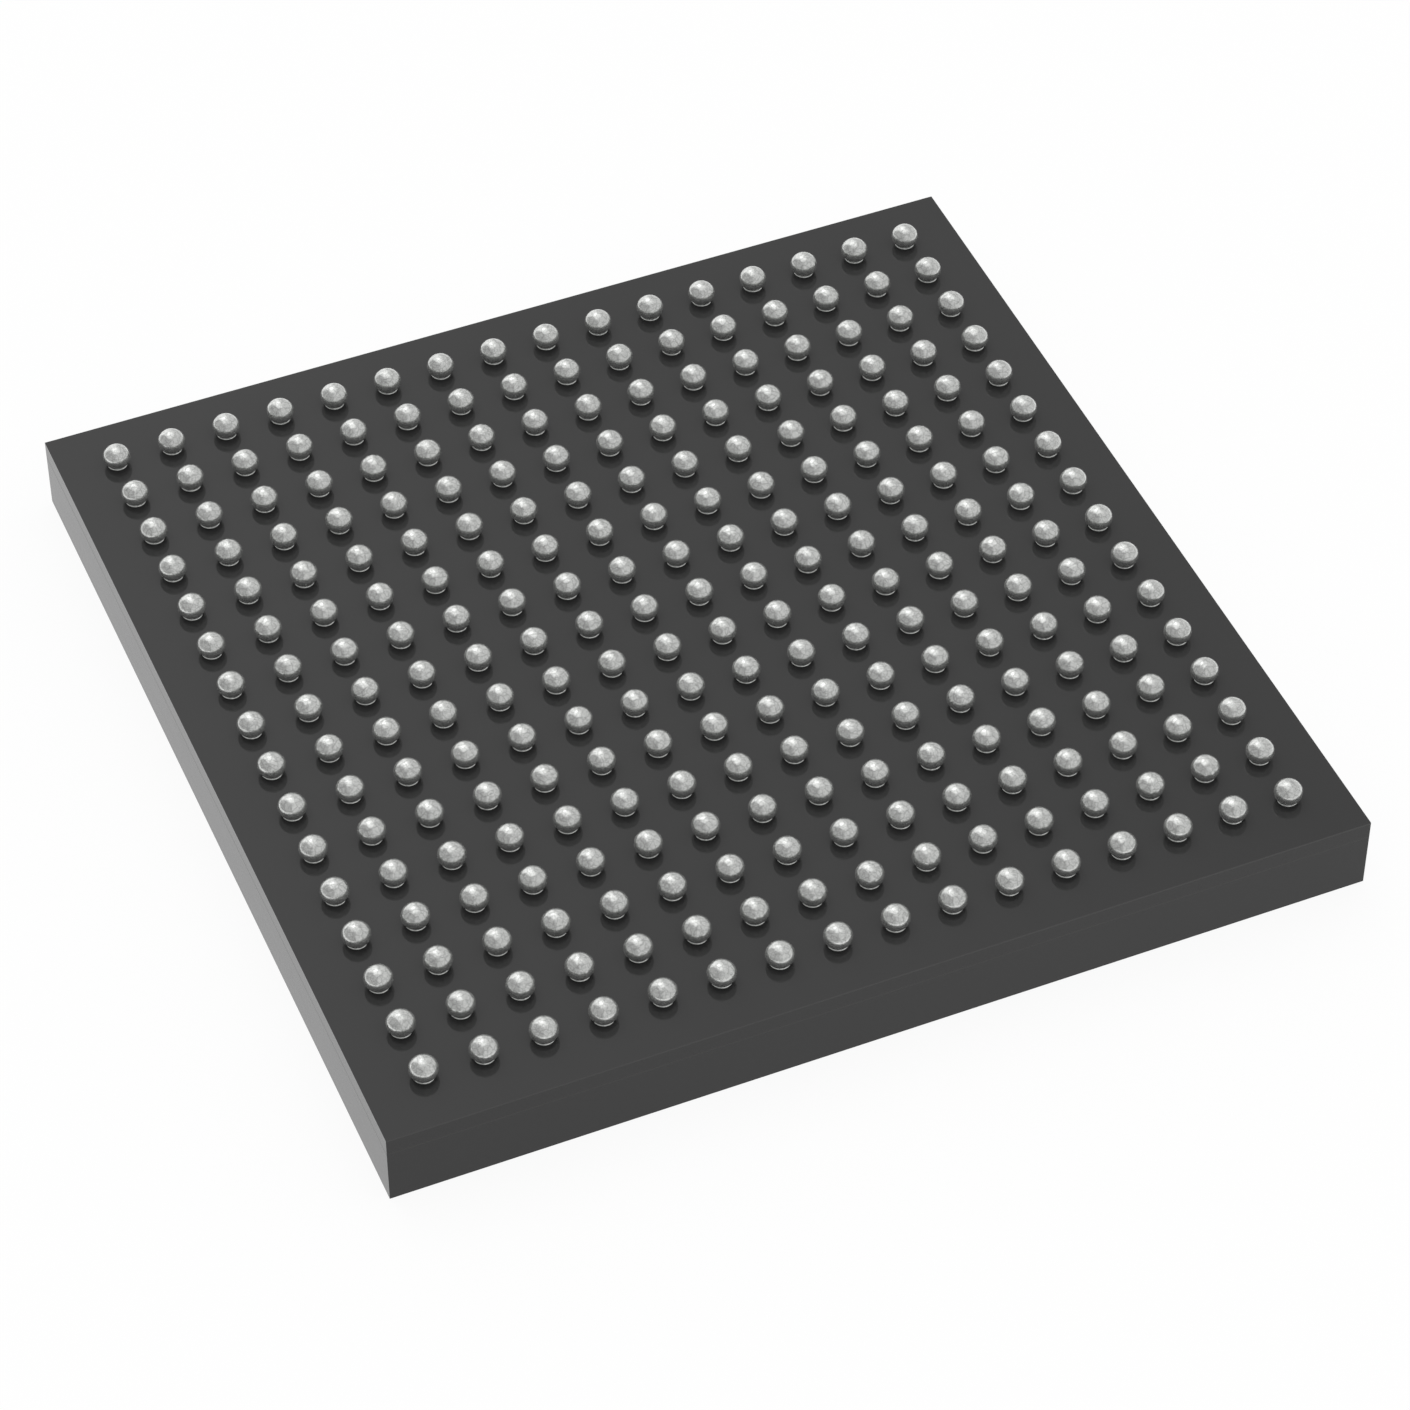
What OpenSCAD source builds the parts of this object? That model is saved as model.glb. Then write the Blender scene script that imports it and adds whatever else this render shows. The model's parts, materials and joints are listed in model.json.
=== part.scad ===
// Ball grid array package with 256 balls, lying on its mould cap with its solder balls up.
// Millimetres. The origin is at the centre of the mould cap's outer face, and +Z is the ball side.
// From the bottom up: mould cap with the die and its bond wires, laminate substrate, solder balls.
// Row A is the row at +Y, row T the row at -Y, and ball A1 is at the corner +X, +Y.

/* [Package] */
// Width and depth of the square body
body_w = 17; // [17:0.1:18]
// Thickness of the body without its balls
body_h = 1.4; // [1.2:0.05:2]
// Width of the dimple that marks corner A1 on the mould cap
corner_mark_d = 1.2; // [0.6:0.1:1.6]
// Depth of that dimple
corner_mark_depth = 0.06; // [0.02:0.01:0.1]

/* [Solder balls] */
// Distance between the centres of two neighbouring balls
pitch = 1; // [1:0.001:1.02]
// Width of a ball at its widest
ball_d = 0.48; // [0.475:0.005:0.5]
// Height of a ball above the ball-side face
ball_h = 0.386; // [0.38:0.002:0.4]
// Height of its widest place above that face
ball_rise = 0.174; // [0.17:0.001:0.176]
// Radius of the hollow fillet round a ball's foot
foot_r = 0.0175; // [0.0175:0.0005:0.024]

/* [Substrate] */
// Thickness of the laminate core
core_t = 0.28; // [0.2:0.01:0.4]
// Thickness of each solder mask
mask_t = 0.035; // [0.03:0.001:0.04]
// Thickness of each copper layer
copper_t = 0.02; // [0.012:0.001:0.025]
// Diameter of the mask opening under each ball
mask_opening_d = 0.35; // [0.34:0.002:0.356]
// Diameter of the copper pad under each mask opening
pad_d = 0.5; // [0.45:0.01:0.52]

/* [Vias] */
// Outer diameter of a plated via
via_d = 0.2; // [0.16:0.01:0.24]
// Diameter of the resin plug inside it
via_plug_d = 0.14; // [0.08:0.01:0.15]
// Diameter of the copper land round a via
land_d = 0.28; // [0.26:0.01:0.3]

/* [Traces and bond fingers] */
// Width of a trace
trace_w = 0.05; // [0.04:0.005:0.06]
// Width of the neck between a ball pad and its via
neck_w = 0.12; // [0.1:0.01:0.16]
// Distance between the centres of two neighbouring bond fingers
finger_pitch = 0.24; // [0.23:0.002:0.24]
// Width of a bond finger
finger_w = 0.11; // [0.08:0.01:0.12]
// Length of a bond finger
finger_l = 0.3; // [0.25:0.01:0.3]
// Distance from the centre to the inner end of a bond finger
finger_r = 4.35; // [4.34:0.01:4.36]

/* [Die] */
// Width and depth of the square silicon die
die_w = 5.5; // [5.4:0.1:5.6]
// Thickness of the die
die_t = 0.3; // [0.2:0.01:0.35]
// Thickness of the film that holds the die
attach_t = 0.025; // [0.015:0.005:0.04]

/* [Bond wires] */
// Thickness of a gold bond wire
wire_d = 0.025; // [0.018:0.001:0.03]
// Height of a signal wire's loop above the die
signal_loop_h = 0.17; // [0.15:0.01:0.25]
// Height of a supply wire's loop above the die
supply_loop_h = 0.12; // [0.1:0.01:0.14]
// Distance between the centres of two neighbouring bonds on the die
bond_pitch = 0.115; // [0.11:0.001:0.118]

/* [Hidden] */
row_letters = ["a", "b", "c", "d", "e", "f", "g", "h", "j", "k", "l", "m", "n", "p", "r", "t"];
$fn = 48;
ball_fn = 72;
eps = 0.01;

// Levels, from the outer face of the mould cap up
mould_h = body_h - core_t - 2 * mask_t;
core_z = mould_h + mask_t;
core_top = core_z + core_t;
die_copper_z = core_z - copper_t;
pad_top = core_top + copper_t;
die_z = mould_h - attach_t - die_t;

// The ball grid: 16 x 16 balls, the outer three rings for signals and the inner ones for the supplies
grid_n = len(row_letters);
outer_ring = grid_n / 2;
signal_rings = 3;
first_ring = outer_ring - signal_rings + 1;
last_column = outer_ring - 2;
ground_rings = 4;
ground_reach = ground_rings - 1;
ball_spots = [for (i = [0:grid_n - 1]) (i - (grid_n - 1) / 2) * pitch];

// Outline of a ball: x from its axis, y from the ball-side face. The crown's circle and the side's touch, and
// the foot's circle touches the side's and passes through the rim of the mask opening.
opening_r = mask_opening_d / 2;
neck_h = mask_t - copper_t;
side_r = 0.75 * ball_d / 2;
side_centre = [ball_d / 2 - side_r, ball_rise];
crown_rise = ball_h - ball_rise;
crown_r = (pow(side_centre.x, 2) + pow(crown_rise, 2) - pow(side_r, 2)) / (2 * (crown_rise - side_r));
crown_centre = [0, ball_h - crown_r];
crown_edge = unit(side_centre - crown_centre);
to_rim = [opening_r, 0] - side_centre;
foot_reach = side_r + foot_r;
rim_turn = acos((pow(foot_reach, 2) + to_rim * to_rim - pow(foot_r, 2)) / (2 * foot_reach * norm(to_rim)));
foot_turn = atan2(to_rim.y, to_rim.x) + rim_turn;
foot_centre = side_centre + foot_reach * [cos(foot_turn), sin(foot_turn)];
foot_top = side_centre + side_r * [cos(foot_turn), sin(foot_turn)];

// Copper areas, as half widths
ground_plane_r = 3.72 * pitch;
power_plane_in = 3.82 * pitch;
power_plane_out = 4.85 * pitch;
paddle_r = 3.62 * pitch;
power_ring_in = 3.76 * pitch;
power_ring_out = 4.2 * pitch;

// The opening in the die-side mask, where the bond wires land
window_in = 3.1;
window_out = finger_r + finger_l + 0.05;

// The fan-out on one side: every trace leaves its finger, crosses to its lane under the mask and runs out to
// its via
fan_r = window_out + trace_w;
fan_slope = 0.76;
first_lane = 0.3;
lane_step = 0.15;
columns = [for (c = [-last_column:last_column]) if (c != 0) c];
// Each net is [column, ring, lane] of its via
nets = [
    for (c = columns)
        let (inner = max(first_ring, abs(c) + 1), lanes = outer_ring - inner)
            for (i = [0:lanes])
                let (lane = c > 0 ? lanes - i : i)
                    [c, inner + lane, lane]
];
net_count = len(nets);

// Bonds on the die: a ground and a power bond stand between every two groups of signal bonds
group_n = 6;
supply_pairs = floor(net_count / group_n);
bond_count = net_count + 2 * supply_pairs;
bond_r = die_w / 2 - 0.1;
signal_wire_r = finger_r + finger_l / 2;
ground_wire_r = (window_in + paddle_r) / 2 + 0.04;
power_wire_r = (power_ring_in + power_ring_out) / 2;
supply_spread = 0.03;

function finger_x(i) = (i - (net_count - 1) / 2) * finger_pitch;
function bond_x(slot) = (slot - (bond_count - 1) / 2) * bond_pitch;
function signal_slot(i) = i + 2 * floor((i + 1) / group_n);
function lane_offset(lane) = lane == 0 ? 0 : first_lane + (lane - 1) * lane_step;

// Where the trace of net i runs, from the outer end of its finger to its via
function trace_path(i) =
    let (
        column_x = nets[i][0] * pitch,
        via_y = nets[i][1] * pitch,
        offset = lane_offset(nets[i][2]),
        lane_x = column_x - sign(column_x) * offset,
        bend_y = fan_r + fan_slope * abs(lane_x - finger_x(i))
    )
        concat(
            [[finger_x(i), -finger_r - finger_l], [finger_x(i), -fan_r], [lane_x, -bend_y]],
            offset == 0 ? [] : [[lane_x, offset - via_y]],
            [[column_x, -via_y]]
        );

function unit(v) = v / norm(v);
function left_of(v) = [-v.y, v.x];

// The normal at point k of a path, long enough to keep a strip's width round a bend
function strip_normal(path, k) =
    let (
        last = len(path) - 1,
        before = unit(path[max(k, 1)] - path[max(k, 1) - 1]),
        after = unit(path[min(k, last - 1) + 1] - path[min(k, last - 1)]),
        n = unit(left_of(before + after))
    )
        n / (n * left_of(before));

// Outline of a strip of width w along a path
function strip(path, w) =
    concat(
        [for (k = [0:len(path) - 1]) path[k] + strip_normal(path, k) * w / 2],
        [for (k = [len(path) - 1:-1:0]) path[k] - strip_normal(path, k) * w / 2]
    );

// Side view of a bond wire of the given reach: up from the die, over in a loop and flat onto the copper
function wire_path(reach, loop_h) =
    let (bend = 0.05, stitch_l = 0.1, stitch_h = wire_d / 2 + die_z - die_copper_z)
        [
            [0, 0],
            [0, loop_h - bend],
            [bend, loop_h],
            [reach * 0.3, loop_h - 0.01],
            [reach - stitch_l, stitch_h],
            [reach, stitch_h]
        ];

module each_side() {
    for (turn = [0:90:270])
        rotate(turn) children();
}

// A square ring of copper or mask between two half widths
module square_ring(inner, outer) {
    difference() {
        square(2 * outer, center = true);
        square(2 * inner, center = true);
    }
}

// A bond finger's outline, and what runs on from it: a strip along the given path
module finger_and_strip(i, path) {
    left = finger_x(i) - finger_w / 2;
    right = finger_x(i) + finger_w / 2;
    near = -finger_r;
    far = -finger_r - finger_l;
    polygon(concat(strip(path, trace_w), [[left, far], [left, near], [right, near], [right, far]]));
}

// One signal net on the die side: bond finger, trace and via land
module die_side_net(i) {
    finger_and_strip(i, trace_path(i));
    translate([nets[i][0], -nets[i][1]] * pitch) circle(d = land_d);
}

// One signal net on the ball side: ball pad, neck and via land
module ball_side_net(i) {
    via = [nets[i][0], -nets[i][1]] * pitch;
    ball = via - [sign(via.x), sign(via.y)] * pitch / 2;
    translate(via) circle(d = land_d);
    translate(ball) circle(d = pad_d);
    polygon(strip([ball, via], neck_w));
}

// Corner balls with no connection have a pad and no via
module spare_pads() {
    for (m = [first_ring:outer_ring])
        translate([m - 0.5, 0.5 - m] * pitch) circle(d = pad_d);
    for (swap = [0, 1])
        mirror([swap, swap])
            translate([outer_ring - 1.5, 0.5 - outer_ring] * pitch) circle(d = pad_d);
}

module signal_via_spots() {
    each_side()
        for (net = nets)
            translate([net[0], -net[1]] * pitch) children();
}

module ground_via_spots() {
    for (x = [-ground_reach:ground_reach], y = [-ground_reach:ground_reach])
        translate([x, y] * pitch) children();
}

module power_via_spots() {
    each_side()
        for (x = [-ground_rings:ground_rings - 1])
            translate([x, -ground_rings] * pitch) children();
}

module via_barrel() {
    translate([0, 0, core_z])
        difference() {
            cylinder(d = via_d, h = core_t);
            translate([0, 0, -eps]) cylinder(d = via_plug_d, h = core_t + 2 * eps);
        }
}

module ball_pads() {
    color("#c98b4e")
        translate([0, 0, core_top])
            each_side() {
                for (i = [0:net_count - 1])
                    linear_extrude(copper_t) ball_side_net(i);
                linear_extrude(copper_t) spare_pads();
            }
}

module ball_side_ground_plane() {
    color("#c08244")
        translate([0, 0, core_top])
            linear_extrude(copper_t) square(2 * ground_plane_r, center = true);
}

module ball_side_power_ring() {
    color("#b97a3c")
        translate([0, 0, core_top])
            linear_extrude(copper_t) square_ring(power_plane_in, power_plane_out);
}

module signal_traces() {
    color("#d49a5a")
        translate([0, 0, die_copper_z])
            each_side()
                for (i = [0:net_count - 1])
                    linear_extrude(copper_t) die_side_net(i);
}

module die_paddle() {
    color("#c08244")
        translate([0, 0, die_copper_z])
            linear_extrude(copper_t) square(2 * paddle_r, center = true);
}

module die_side_power_ring() {
    color("#b97a3c")
        translate([0, 0, die_copper_z])
            linear_extrude(copper_t) square_ring(power_ring_in, power_ring_out);
}

module signal_vias() {
    color("#d08a4a") signal_via_spots() via_barrel();
}

module ground_vias() {
    color("#c47f40") ground_via_spots() via_barrel();
}

module power_vias() {
    color("#b87536") power_via_spots() via_barrel();
}

module via_plug() {
    translate([0, 0, core_z]) cylinder(d = via_plug_d, h = core_t);
}

module via_plugs() {
    color("#2f4a38") {
        signal_via_spots() via_plug();
        ground_via_spots() via_plug();
        power_via_spots() via_plug();
    }
}

module laminate_core() {
    color("#4a4a46")
        difference() {
            translate([-body_w / 2, -body_w / 2, core_z]) cube([body_w, body_w, core_t]);
            signal_via_spots() via_hole();
            ground_via_spots() via_hole();
            power_via_spots() via_hole();
        }
}

module via_hole() {
    translate([0, 0, core_z - eps]) cylinder(d = via_d, h = core_t + 2 * eps);
}

// Outer solder mask: it covers the copper and opens round over every ball pad
module ball_side_mask() {
    color("#454545")
        difference() {
            translate([-body_w / 2, -body_w / 2, core_top]) cube([body_w, body_w, mask_t]);
            ball_pads();
            ball_side_ground_plane();
            ball_side_power_ring();
            for (x = ball_spots, y = ball_spots)
                translate([x, y, core_top + copper_t / 2]) cylinder(d = mask_opening_d, h = mask_t);
        }
}

// Inner solder mask: a square under the die and a frame outside the bond fingers
module die_side_mask() {
    color("#414141")
        difference() {
            translate([0, 0, mould_h])
                linear_extrude(mask_t) {
                    square(2 * window_in, center = true);
                    square_ring(window_out, body_w / 2);
                }
            signal_traces();
            die_paddle();
        }
}

module die_attach_film() {
    color("#d8c9a0")
        translate([-die_w / 2, -die_w / 2, mould_h - attach_t]) cube([die_w, die_w, attach_t]);
}

module silicon_die() {
    color("#6d7480")
        translate([-die_w / 2, -die_w / 2, die_z]) cube([die_w, die_w, die_t]);
}

// A bond wire from one point of the die's face to one point of the copper, both in plan
module bond_wire(from, to, loop_h) {
    reach = norm(to - from);
    heading = atan2(to.y - from.y, to.x - from.x);
    translate([from.x, from.y, die_z])
        rotate([-90, 0, heading])
            linear_extrude(wire_d, center = true) polygon(strip(wire_path(reach, loop_h), wire_d));
}

module signal_wires() {
    color("#e3b94f")
        each_side()
            for (i = [0:net_count - 1])
                bond_wire([bond_x(signal_slot(i)), -bond_r], [finger_x(i), -signal_wire_r], signal_loop_h);
}

// A supply wire stops at its ring, on the line from its bond towards the gap between two fingers
module supply_wires(ring_r, side) {
    each_side()
        for (k = [1:supply_pairs]) {
            after = k * group_n - 1;
            from = [bond_x(signal_slot(after) - 1.5 + side / 2), -bond_r];
            gap_x = finger_x(after - 0.5) + side * supply_spread;
            share = (ring_r - bond_r) / (signal_wire_r - bond_r);
            bond_wire(from, [from.x + (gap_x - from.x) * share, -ring_r], supply_loop_h);
        }
}

module ground_wires() {
    color("#dcb048") supply_wires(ground_wire_r, -1);
}

module power_wires() {
    color("#d4a63e") supply_wires(power_wire_r, 1);
}

// The part of the signal traces that shows in the mask's window
module bond_fingers() {
    translate([0, 0, die_copper_z])
        each_side()
            for (i = [0:net_count - 1])
                linear_extrude(copper_t)
                    finger_and_strip(i, [[finger_x(i), -finger_r - finger_l], [finger_x(i), -window_out]]);
}

// Moulding compound: it fills the mask's window and closes round the die and every wire
module mould_cap() {
    mark_r = (pow(corner_mark_d / 2, 2) + pow(corner_mark_depth, 2)) / (2 * corner_mark_depth);
    corner = (grid_n - 1) / 2 * pitch;
    color("#484848")
        difference() {
            union() {
                translate([-body_w / 2, -body_w / 2, 0]) cube([body_w, body_w, mould_h]);
                translate([0, 0, mould_h - mask_t])
                    linear_extrude(2 * mask_t) square_ring(window_in, window_out);
            }
            translate([corner, corner, corner_mark_depth - mark_r]) sphere(r = mark_r, $fn = 180);
            die_attach_film();
            silicon_die();
            bond_fingers();
            die_paddle();
            die_side_power_ring();
            signal_wires();
            ground_wires();
            power_wires();
        }
}

// Half the outline of a reflowed ball: a flattened crown, a rounder side and a hollow foot that ends on the
// rim of the mask opening, over the neck that fills that opening down to the pad
module ball_outline() {
    beyond = 2 * ball_h;
    intersection() {
        translate(crown_centre) circle(r = crown_r);
        polygon([[0, 0], [side_centre.x, 0], side_centre, crown_centre + beyond * crown_edge, [0, beyond]]);
    }
    intersection() {
        translate(side_centre) circle(r = side_r);
        square(ball_d);
    }
    difference() {
        polygon([[0, 0], [opening_r, 0], foot_centre, foot_top, [0, foot_top.y]]);
        translate(foot_centre) circle(r = foot_r);
    }
    translate([0, -neck_h]) square([opening_r, neck_h]);
}

module solder_ball() {
    translate([0, 0, body_h])
        rotate_extrude($fn = ball_fn) ball_outline();
}

module solder_ball_row(row) {
    color("#c4c6c4")
        for (x = ball_spots)
            translate([x, -ball_spots[row], 0]) solder_ball();
}

mould_cap();
laminate_core();
ball_side_mask();
die_side_mask();
ball_pads();
ball_side_ground_plane();
ball_side_power_ring();
signal_vias();
ground_vias();
power_vias();
via_plugs();
signal_traces();
die_paddle();
die_side_power_ring();
die_attach_film();
silicon_die();
signal_wires();
ground_wires();
power_wires();
for (row = [0:grid_n - 1])
    solder_ball_row(row);
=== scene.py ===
# The looks of a ball grid array package that lies on its mould cap with its solder balls up.
# Metres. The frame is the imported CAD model: Z = 0 is the mould cap's outer face and +Z is the ball side.
import json
import math

import bpy
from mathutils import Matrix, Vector

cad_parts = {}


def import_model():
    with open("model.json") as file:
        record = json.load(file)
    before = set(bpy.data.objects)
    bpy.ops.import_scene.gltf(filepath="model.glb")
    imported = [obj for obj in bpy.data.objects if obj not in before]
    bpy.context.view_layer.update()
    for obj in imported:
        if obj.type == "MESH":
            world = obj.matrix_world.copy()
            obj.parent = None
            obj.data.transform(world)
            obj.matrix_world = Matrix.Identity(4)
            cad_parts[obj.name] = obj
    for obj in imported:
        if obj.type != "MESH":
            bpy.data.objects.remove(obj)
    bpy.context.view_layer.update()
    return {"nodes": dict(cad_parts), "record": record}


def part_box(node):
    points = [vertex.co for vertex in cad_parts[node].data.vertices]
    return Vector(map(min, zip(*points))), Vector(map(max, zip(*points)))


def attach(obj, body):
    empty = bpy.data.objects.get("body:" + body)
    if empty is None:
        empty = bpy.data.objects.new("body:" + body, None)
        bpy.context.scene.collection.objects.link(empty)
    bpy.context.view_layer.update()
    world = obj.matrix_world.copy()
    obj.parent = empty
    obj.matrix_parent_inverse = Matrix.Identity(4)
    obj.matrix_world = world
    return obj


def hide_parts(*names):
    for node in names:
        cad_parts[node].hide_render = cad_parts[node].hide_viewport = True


MM = 0.001

# Camera: a long lens that stands at the front left and looks down at the balls, without roll
CAMERA_AT = Vector((-23.13, -55.55, 61.49)) * MM
CAMERA_AIM = Vector((-0.39, -1.85, 1.40)) * MM
LENS_MM = 129.2
SENSOR_MM = 36
CLIP_NEAR = 0.001
CLIP_FAR = 10

# Solder ball: a flattened crown, a rounder side and a hollow foot on the rim of its mask opening
BALL_R = 0.24 * MM
BALL_H = 0.386 * MM
BALL_RISE = 0.174 * MM
SIDE_R = 0.75 * BALL_R
FOOT_R = 0.0175 * MM
OPENING_R = 0.175 * MM
NECK_DEPTH = 0.01 * MM
PITCH = 1.0 * MM
GRID_N = 16

# Steps of a ball's mesh: round it, and along the arcs of its crown, its side and its foot
RING_STEPS = 48
CROWN_STEPS = 6
SIDE_STEPS = 22
FOOT_STEPS = 8

# Finishes: refraction, texture scales in waves per metre, and depths of relief
MASK_IOR = 1.38
SAWN_IOR = 1.43
PLAIN_IOR = 1.45
SOLDER_PATCHES = 20000
SOLDER_GRAINS = 10000
SOLDER_SHEEN = 16000
SOLDER_BUMPS = 18000
SOLDER_BUMP_DEPTH = 0.0022 * MM
MASK_CLOUDS = 260
SAWN_GRAIN = 14000
SAWN_GRAIN_DEPTH = 0.0004 * MM
SAW_LINES = 5000
SAW_LINE_STRETCH = (0.12, 0.12, 1.6)

# Studio: brightness of the walls, the strip and the floor.
# Azimuth 0 is behind the package, at +Y, and 90 at +X.
LEFT_WALL = 0.53
RIGHT_WALL = 0.81
WALLS_MEET_AZIMUTH = 23
WALLS_BLEND = 0.04
STRIP_LIGHT = 1.4
STRIP_AZIMUTH = -8
STRIP_LEFT_EDGE = (-0.46, -0.28)
STRIP_RIGHT_EDGE = (0.25, 0.55)
STRIP_NEAR_EDGE = (-0.3, 0.0)
FLOOR_SIZE = 2.0
FLOOR_COLOUR = (0.9, 0.9, 0.9)
FLOOR_GLOW = 1.04
FLOOR_GLOW_SHARE = 0.88
FLOOR_DROP = 0.01 * MM

# Key lamp: a soft square in the studio, in degrees, metres and watts
KEY_AZIMUTH = -5
KEY_ELEVATION = 55
KEY_DISTANCE = 0.5
KEY_SIZE = 0.18
KEY_WATTS = 0.08


# ---------------------------------------------------------------- node helpers

def new_material(name):
    """A material with an empty node tree, its nodes and its output."""
    material = bpy.data.materials.new(name)
    material.use_nodes = True
    nodes = material.node_tree.nodes
    nodes.clear()
    output = nodes.new("ShaderNodeOutputMaterial")
    return material, nodes, output


def link(owner, source, target):
    """Joins two sockets in the node tree of a material or of the world."""
    owner.node_tree.links.new(source, target)


def calculate(owner, operation, *values):
    """A maths node in the owner's tree. Its values are numbers or the outputs of other nodes."""
    node = owner.node_tree.nodes.new("ShaderNodeMath")
    node.operation = operation
    for socket, value in zip(node.inputs, values):
        if isinstance(value, (int, float)):
            socket.default_value = value
        else:
            link(owner, value, socket)
    return node.outputs["Value"]


def noise(material, nodes, scale, detail=2.0, roughness=0.5, stretch=(1, 1, 1)):
    """A noise texture in object space, whose scale is in waves per metre."""
    place = nodes.new("ShaderNodeTexCoord")
    mapping = nodes.new("ShaderNodeMapping")
    mapping.inputs["Scale"].default_value = stretch
    texture = nodes.new("ShaderNodeTexNoise")
    texture.inputs["Scale"].default_value = scale
    texture.inputs["Detail"].default_value = detail
    texture.inputs["Roughness"].default_value = roughness
    link(material, place.outputs["Object"], mapping.inputs["Vector"])
    link(material, mapping.outputs["Vector"], texture.inputs["Vector"])
    return texture.outputs["Fac"]


def spread(material, nodes, value, low, high, start=0.3, end=0.7):
    """value, taken from the range start..end to the range low..high."""
    ranged = nodes.new("ShaderNodeMapRange")
    ranged.inputs["From Min"].default_value = start
    ranged.inputs["From Max"].default_value = end
    ranged.inputs["To Min"].default_value = low
    ranged.inputs["To Max"].default_value = high
    link(material, value, ranged.inputs["Value"])
    return ranged.outputs["Result"]


def tint(material, nodes, value, dark, light):
    """A colour between dark and light, by value."""
    mix = nodes.new("ShaderNodeMix")
    mix.data_type = "RGBA"
    mix.inputs["A"].default_value = (*dark, 1)
    mix.inputs["B"].default_value = (*light, 1)
    link(material, value, mix.inputs["Factor"])
    return mix.outputs["Result"]


def bump(material, nodes, value, shader, distance):
    """Surface relief of the given depth in metres."""
    relief = nodes.new("ShaderNodeBump")
    relief.inputs["Distance"].default_value = distance
    link(material, value, relief.inputs["Height"])
    link(material, relief.outputs["Normal"], shader.inputs["Normal"])


def principled(material, nodes, output, metallic, roughness, ior=PLAIN_IOR):
    """The surface shader, joined to the material's output."""
    shader = nodes.new("ShaderNodeBsdfPrincipled")
    shader.inputs["Metallic"].default_value = metallic
    shader.inputs["Roughness"].default_value = roughness
    shader.inputs["IOR"].default_value = ior
    link(material, shader.outputs["BSDF"], output.inputs["Surface"])
    return shader


# ---------------------------------------------------------------- materials

def solder_material():
    """Tin-silver-copper solder: satin metal with an oxide bloom, and fine patches and grain lines."""
    material, nodes, output = new_material("solder_finish")
    shader = principled(material, nodes, output, 0.8, 0.2)
    patches = noise(material, nodes, SOLDER_PATCHES, 3.0, 0.6)
    tone = tint(material, nodes, spread(material, nodes, patches, 0, 1, 0.35, 0.65),
                (0.66, 0.67, 0.655), (0.84, 0.85, 0.83))
    lines = grain_lines(material, nodes, SOLDER_GRAINS)
    shaded = nodes.new("ShaderNodeMix")
    shaded.data_type = "RGBA"
    shaded.blend_type = "MULTIPLY"
    shaded.inputs["Factor"].default_value = 1.0
    link(material, tone, shaded.inputs["A"])
    link(material, tint(material, nodes, lines, (0.76, 0.76, 0.76), (1, 1, 1)), shaded.inputs["B"])
    link(material, shaded.outputs["Result"], shader.inputs["Base Color"])
    sheen = noise(material, nodes, SOLDER_SHEEN, 4.0, 0.6)
    link(material, spread(material, nodes, sheen, 0.14, 0.28), shader.inputs["Roughness"])
    bumps = noise(material, nodes, SOLDER_BUMPS, 3.0, 0.55)
    bump(material, nodes, bumps, shader, SOLDER_BUMP_DEPTH)
    return material


def grain_lines(material, nodes, scale):
    """1 inside the metal's grains and 0 on the wandering lines between them."""
    place = nodes.new("ShaderNodeTexCoord")
    wander = nodes.new("ShaderNodeTexNoise")
    wander.inputs["Scale"].default_value = scale * 1.6
    offset = nodes.new("ShaderNodeVectorMath")
    offset.operation = "MULTIPLY_ADD"
    offset.inputs[1].default_value = (0.6 / scale,) * 3
    cells = nodes.new("ShaderNodeTexVoronoi")
    cells.feature = "DISTANCE_TO_EDGE"
    cells.inputs["Scale"].default_value = scale
    link(material, place.outputs["Object"], wander.inputs["Vector"])
    link(material, wander.outputs["Color"], offset.inputs[0])
    link(material, place.outputs["Object"], offset.inputs[2])
    link(material, offset.outputs["Vector"], cells.inputs["Vector"])
    return spread(material, nodes, cells.outputs["Distance"], 0, 1, 0.0, 0.10)


def mask_material():
    """Dark solder mask: smooth and glossy, and barely uneven."""
    material, nodes, output = new_material("solder_mask_finish")
    shader = principled(material, nodes, output, 0.0, 0.035, MASK_IOR)
    clouds = noise(material, nodes, MASK_CLOUDS, 3.0, 0.5)
    link(material, tint(material, nodes, spread(material, nodes, clouds, 0, 1),
                        (0.0415, 0.0415, 0.0415), (0.0440, 0.0440, 0.0440)), shader.inputs["Base Color"])
    link(material, spread(material, nodes, clouds, 0.03, 0.04), shader.inputs["Roughness"])
    return material


def sawn_material(name, dark, light, roughness):
    """A sawn edge or moulded face of dark filled resin: fine even grain with faint lines along the cut."""
    material, nodes, output = new_material(name)
    shader = principled(material, nodes, output, 0.0, roughness, SAWN_IOR)
    grain = noise(material, nodes, SAWN_GRAIN, 3.0, 0.6)
    link(material, tint(material, nodes, spread(material, nodes, grain, 0, 1), dark, light),
         shader.inputs["Base Color"])
    cut = noise(material, nodes, SAW_LINES, 2.0, 0.5, SAW_LINE_STRETCH)
    sheen = spread(material, nodes, cut, roughness - 0.005, roughness + 0.007)
    link(material, sheen, shader.inputs["Roughness"])
    bump(material, nodes, grain, shader, SAWN_GRAIN_DEPTH)
    return material


def inner_material(name, metallic, dark, light, roughness, scale):
    """A layer, wire, film or resin inside the package: nearly one tone, with a fine grain."""
    material, nodes, output = new_material(name)
    shader = principled(material, nodes, output, metallic, roughness)
    grain = noise(material, nodes, scale, 3.0, 0.5)
    link(material, tint(material, nodes, spread(material, nodes, grain, 0, 1), dark, light),
         shader.inputs["Base Color"])
    return material


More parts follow.
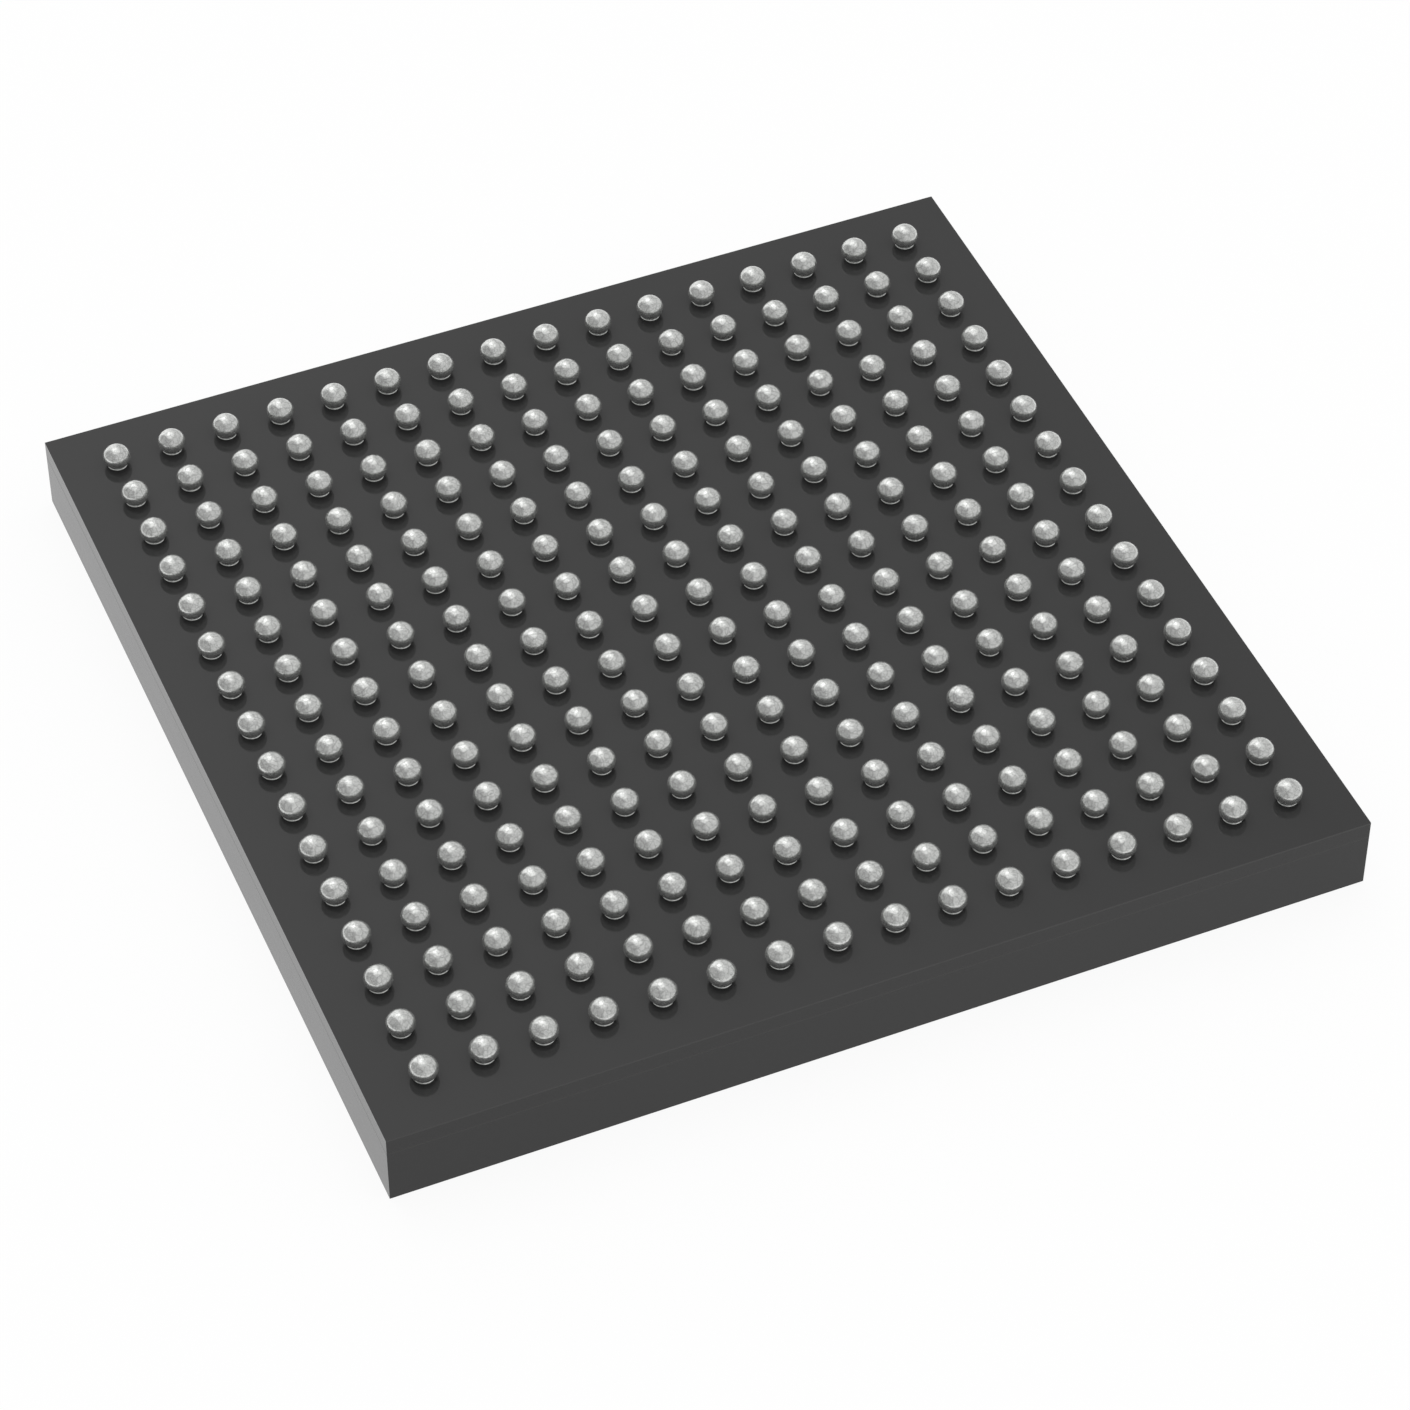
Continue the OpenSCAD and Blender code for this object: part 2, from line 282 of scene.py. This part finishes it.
def finishes():
    """The material of every slot in the record."""
    return {
        "mould_compound": sawn_material("mould_finish", (0.009, 0.009, 0.009), (0.013, 0.013, 0.013), 0.2),
        "laminate": sawn_material("laminate_finish", (0.009, 0.009, 0.009), (0.013, 0.013, 0.013), 0.2),
        "solder_mask": mask_material(),
        "inner_solder_mask": inner_material("inner_mask_finish", 0, (0.014,) * 3, (0.018,) * 3, 0.3, 900),
        "copper": inner_material("copper_finish", 1, (0.66, 0.36, 0.20), (0.80, 0.48, 0.29), 0.35, 4000),
        "plug_resin": inner_material("plug_finish", 0, (0.04, 0.08, 0.05), (0.06, 0.11, 0.07), 0.5, 6000),
        "attach_film": inner_material("attach_finish", 0, (0.62, 0.54, 0.34), (0.74, 0.66, 0.46), 0.6, 2000),
        "silicon": inner_material("silicon_finish", 1, (0.31, 0.33, 0.38), (0.36, 0.38, 0.43), 0.12, 1500),
        "gold": inner_material("gold_finish", 1, (0.90, 0.66, 0.22), (1.00, 0.78, 0.34), 0.25, 9000),
        "solder": solder_material(),
    }


# ---------------------------------------------------------------- pieces

def arc(centre, radius, start, end, steps):
    """Points along an arc from start up to, but not at, end. Angles are in radians."""
    turns = [start + (end - start) * k / steps for k in range(steps)]
    return [(centre[0] + radius * math.cos(t), centre[1] + radius * math.sin(t)) for t in turns]


def ball_profile():
    """Side outline of a ball from its neck up to its pole, as (radius, height above the ball-side face).
    The crown's arc is centred on the axis and runs into the side's arc without a corner. The foot is a
    hollow arc that passes through the rim of the opening and touches the side's arc from outside."""
    side = Vector((BALL_R - SIDE_R, BALL_RISE))
    crown_rise = BALL_H - BALL_RISE
    crown_r = (side.x ** 2 + crown_rise ** 2 - SIDE_R ** 2) / (2 * (crown_rise - SIDE_R))
    crown = Vector((0, BALL_H - crown_r))
    to_rim = Vector((OPENING_R, 0)) - side
    reach = SIDE_R + FOOT_R
    seat = math.atan2(to_rim.y, to_rim.x) + math.acos(
        (reach ** 2 + to_rim.length_squared - FOOT_R ** 2) / (2 * reach * to_rim.length))
    foot = side + reach * Vector((math.cos(seat), math.sin(seat)))
    rim = math.atan2(-foot.y, OPENING_R - foot.x)
    lean = math.atan2(side.y - crown.y, side.x)
    points = [(OPENING_R, -NECK_DEPTH)]
    points += arc(foot, FOOT_R, rim, seat - math.pi, FOOT_STEPS)
    points += arc(side, SIDE_R, seat, lean, SIDE_STEPS)
    points += arc(crown, crown_r, lean, math.pi / 2, CROWN_STEPS)
    return points


def ball_row(name, centres, face_z):
    """One mesh of separate balls, each a closed revolve of the ball's outline."""
    vertices = []
    faces = []
    profile = ball_profile()
    for x, y in centres:
        first = len(vertices)
        for radius, height in profile:
            for s in range(RING_STEPS):
                turn = 2 * math.pi * s / RING_STEPS
                vertices.append((x + radius * math.cos(turn), y + radius * math.sin(turn), face_z + height))
        pole = len(vertices)
        vertices.append((x, y, face_z + BALL_H))
        faces.append([first + s for s in reversed(range(RING_STEPS))])
        for ring in range(len(profile) - 1):
            low = first + ring * RING_STEPS
            for s in range(RING_STEPS):
                after = (s + 1) % RING_STEPS
                faces.append((low + s, low + after, low + RING_STEPS + after, low + RING_STEPS + s))
        top = first + (len(profile) - 1) * RING_STEPS
        for s in range(RING_STEPS):
            faces.append((top + s, top + (s + 1) % RING_STEPS, pole))
    mesh = bpy.data.meshes.new(name)
    mesh.from_pydata(vertices, [], faces)
    mesh.update()
    mesh.polygons.foreach_set("use_smooth", [len(p.vertices) <= 4 for p in mesh.polygons])
    piece = bpy.data.objects.new(name, mesh)
    bpy.context.scene.collection.objects.link(piece)
    return piece


def fine_balls(frame, solder):
    """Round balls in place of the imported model's coarse ones, row by row."""
    face_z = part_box("ball_side_mask")[1][2]
    for node in sorted(n for n in frame["nodes"] if n.startswith("solder_balls_row_")):
        low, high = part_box(node)
        x = (low[0] + high[0]) / 2
        y = (low[1] + high[1]) / 2
        centres = [(x + (k - (GRID_N - 1) / 2) * PITCH, y) for k in range(GRID_N)]
        piece = ball_row(node.replace("solder_balls", "fine_balls"), centres, face_z)
        piece.data.materials.append(solder)
        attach(piece, "root")
        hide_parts(node)


def dress_nodes(frame, materials):
    """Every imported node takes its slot's finish."""
    slots = {part["node"]: part["material_slot"] for part in frame["record"]["subparts"]}
    for name, node in frame["nodes"].items():
        node.data.materials.clear()
        node.data.materials.append(materials[slots[name]])


# ---------------------------------------------------------------- stage, light and camera

def floor():
    """A white floor, just clear of the mould cap's outer face and see-through from below.
    The camera sees it mostly as the pale background, with the object's shadow kept on it."""
    half = FLOOR_SIZE / 2
    corners = [(-half, -half), (half, -half), (half, half), (-half, half)]
    mesh = bpy.data.meshes.new("floor")
    mesh.from_pydata([(x, y, -FLOOR_DROP) for x, y in corners], [], [(0, 1, 2, 3)])
    plane = bpy.data.objects.new("floor", mesh)
    bpy.context.scene.collection.objects.link(plane)
    mesh.materials.append(floor_material())


def floor_material():
    """Diffuse white for the light that falls on it, and mostly a glow for the rays that see it."""
    material, nodes, output = new_material("floor_white")
    lit = nodes.new("ShaderNodeBsdfDiffuse")
    lit.inputs["Color"].default_value = (*FLOOR_COLOUR, 1)
    glow = nodes.new("ShaderNodeEmission")
    glow.inputs["Strength"].default_value = FLOOR_GLOW
    path = nodes.new("ShaderNodeLightPath")
    seen = calculate(material, "MAXIMUM", path.outputs["Is Camera Ray"], path.outputs["Is Glossy Ray"])
    seen = calculate(material, "MAXIMUM", seen, path.outputs["Is Transmission Ray"])
    upper = nodes.new("ShaderNodeMixShader")
    link(material, calculate(material, "MULTIPLY", seen, FLOOR_GLOW_SHARE), upper.inputs["Fac"])
    link(material, lit.outputs["BSDF"], upper.inputs[1])
    link(material, glow.outputs["Emission"], upper.inputs[2])
    side = nodes.new("ShaderNodeNewGeometry")
    lower = nodes.new("ShaderNodeBsdfTransparent")
    one_sided = nodes.new("ShaderNodeMixShader")
    link(material, side.outputs["Backfacing"], one_sided.inputs["Fac"])
    link(material, upper.outputs["Shader"], one_sided.inputs[1])
    link(material, lower.outputs["BSDF"], one_sided.inputs[2])
    link(material, one_sided.outputs["Shader"], output.inputs["Surface"])
    return material


def towards(studio, direction, azimuth):
    """How far a direction, given by its X and Y, points towards an azimuth: from -1 to 1."""
    x, y = direction
    turn = math.radians(azimuth)
    part_x = calculate(studio, "MULTIPLY", x, math.sin(turn))
    part_y = calculate(studio, "MULTIPLY", y, math.cos(turn))
    return calculate(studio, "ADD", part_x, part_y)


def step(studio, value, start, end):
    """0 up to start, 1 from end, and smooth between them."""
    node = studio.node_tree.nodes.new("ShaderNodeMapRange")
    node.interpolation_type = "SMOOTHSTEP"
    node.inputs["From Min"].default_value = start
    node.inputs["From Max"].default_value = end
    link(studio, value, node.inputs["Value"])
    return node.outputs["Result"]


def blend(studio, factor, low, high):
    """low where the factor is 0, and high where it is 1."""
    rise = calculate(studio, "MULTIPLY", factor, calculate(studio, "SUBTRACT", high, low))
    return calculate(studio, "ADD", rise, low)


def studio_light(studio):
    """Brightness by direction: a bright strip from the back wall over the ceiling, a lighter wall on the
    right and a dimmer one on the left."""
    place = studio.node_tree.nodes.new("ShaderNodeTexCoord")
    split = studio.node_tree.nodes.new("ShaderNodeSeparateXYZ")
    link(studio, place.outputs["Generated"], split.inputs["Vector"])
    direction = (split.outputs["X"], split.outputs["Y"])
    across = towards(studio, direction, STRIP_AZIMUTH + 90)
    right_of_start = step(studio, across, *STRIP_LEFT_EDGE)
    left_of_end = calculate(studio, "SUBTRACT", 1, step(studio, across, *STRIP_RIGHT_EDGE))
    beyond_near = step(studio, towards(studio, direction, STRIP_AZIMUTH), *STRIP_NEAR_EDGE)
    strip = calculate(studio, "MULTIPLY", right_of_start, left_of_end)
    strip = calculate(studio, "MULTIPLY", strip, beyond_near)
    on_right = step(studio, towards(studio, direction, WALLS_MEET_AZIMUTH + 90), -WALLS_BLEND, WALLS_BLEND)
    walls = blend(studio, on_right, LEFT_WALL, RIGHT_WALL)
    return blend(studio, strip, walls, STRIP_LIGHT)


def world():
    """The studio lights the package and shows in it. Camera and transmission rays see plain white."""
    studio = bpy.data.worlds.new("studio")
    bpy.context.scene.world = studio
    studio.use_nodes = True
    nodes = studio.node_tree.nodes
    nodes.clear()
    path = nodes.new("ShaderNodeLightPath")
    plain = calculate(studio, "MAXIMUM", path.outputs["Is Camera Ray"], path.outputs["Is Transmission Ray"])
    background = nodes.new("ShaderNodeBackground")
    link(studio, blend(studio, plain, studio_light(studio), 1.0), background.inputs["Strength"])
    output = nodes.new("ShaderNodeOutputWorld")
    link(studio, background.outputs["Background"], output.inputs["Surface"])


def key_lamp():
    """A soft square lamp above and behind the package, aimed at it."""
    data = bpy.data.lights.new("key", "AREA")
    data.size = KEY_SIZE
    data.energy = KEY_WATTS
    lamp = bpy.data.objects.new("key", data)
    azimuth = math.radians(KEY_AZIMUTH)
    elevation = math.radians(KEY_ELEVATION)
    ahead = math.cos(elevation)
    away = Vector((math.sin(azimuth) * ahead, math.cos(azimuth) * ahead, math.sin(elevation)))
    lamp.location = away * KEY_DISTANCE
    lamp.rotation_euler = away.to_track_quat("Z", "Y").to_euler()
    bpy.context.scene.collection.objects.link(lamp)


def camera():
    """The camera that the scene is seen through."""
    data = bpy.data.cameras.new("camera")
    data.lens = LENS_MM
    data.sensor_width = SENSOR_MM
    data.clip_start = CLIP_NEAR
    data.clip_end = CLIP_FAR
    view = bpy.data.objects.new("camera", data)
    view.location = CAMERA_AT
    view.rotation_euler = (CAMERA_AIM - CAMERA_AT).to_track_quat("-Z", "Y").to_euler()
    bpy.context.scene.collection.objects.link(view)
    bpy.context.scene.camera = view


bpy.ops.wm.read_factory_settings(use_empty=True)
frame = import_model()
camera()
floor()
world()
key_lamp()
materials = finishes()
dress_nodes(frame, materials)
fine_balls(frame, materials["solder"])
bpy.context.scene.view_settings.view_transform = "Standard"
